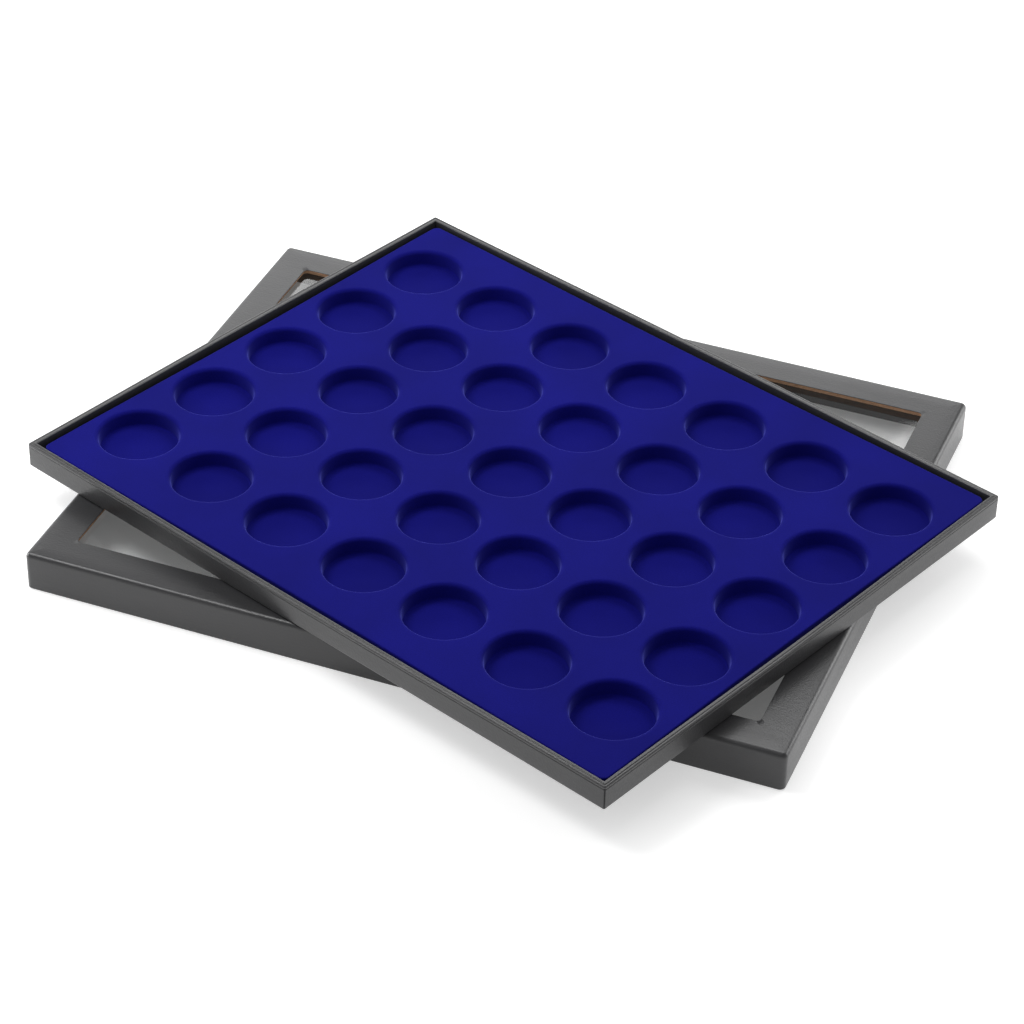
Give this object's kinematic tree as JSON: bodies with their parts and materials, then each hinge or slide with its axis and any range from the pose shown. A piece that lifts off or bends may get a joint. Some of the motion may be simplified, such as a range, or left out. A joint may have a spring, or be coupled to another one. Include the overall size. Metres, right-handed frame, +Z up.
{
  "type": "coin display case",
  "caption": "Shallow leatherette-covered tray with a flocked insert of round coin capsule seats, lying open across its lift-off lid with a clear window.",
  "frame": {"origin": "middle of the tray in plan, on the surface that the case stands on", "axes": "+Z up; +X along the lid's long side, which is also the longest extent; -Y towards the front of the lid"},
  "size_m": [0.3652, 0.3268, 0.0273],
  "materials": {
    "greyboard": "raw",
    "leatherette": "fine grain, satin",
    "lining_paper": "matt",
    "gummed_paper": "matt",
    "clear_tape": "satin",
    "clear_film": "polished",
    "flocked_sheet": "flocked"
  },
  "bodies": {
    "lid": {"lid_board": "greyboard", "lid_cover": "leatherette", "lid_lining": "lining_paper", "window_pane": "clear_film", "window_tape_front": "clear_tape", "window_tape_back": "clear_tape", "window_tape_left": "clear_tape", "window_tape_right": "clear_tape", "lid_corner_stay_front_left": "gummed_paper", "lid_corner_stay_front_right": "gummed_paper", "lid_corner_stay_back_left": "gummed_paper", "lid_corner_stay_back_right": "gummed_paper"},
    "tray": {"tray_board": "greyboard", "tray_cover": "leatherette", "tray_lining": "lining_paper", "tray_corner_stay_front_left": "gummed_paper", "tray_corner_stay_front_right": "gummed_paper", "tray_corner_stay_back_left": "gummed_paper", "tray_corner_stay_back_right": "gummed_paper"},
    "insert": {"coin_insert": "flocked_sheet"}
  },
  "joints": [
    {"name": "tray_lift", "type": "slide", "parent": "lid", "child": "tray", "axis": [0, 0, 1], "range_m": [0, 0.08]},
    {"name": "insert_lift", "type": "slide", "parent": "tray", "child": "insert", "axis": [0, 0, 1], "range_m": [0, 0.04]}
  ]
}
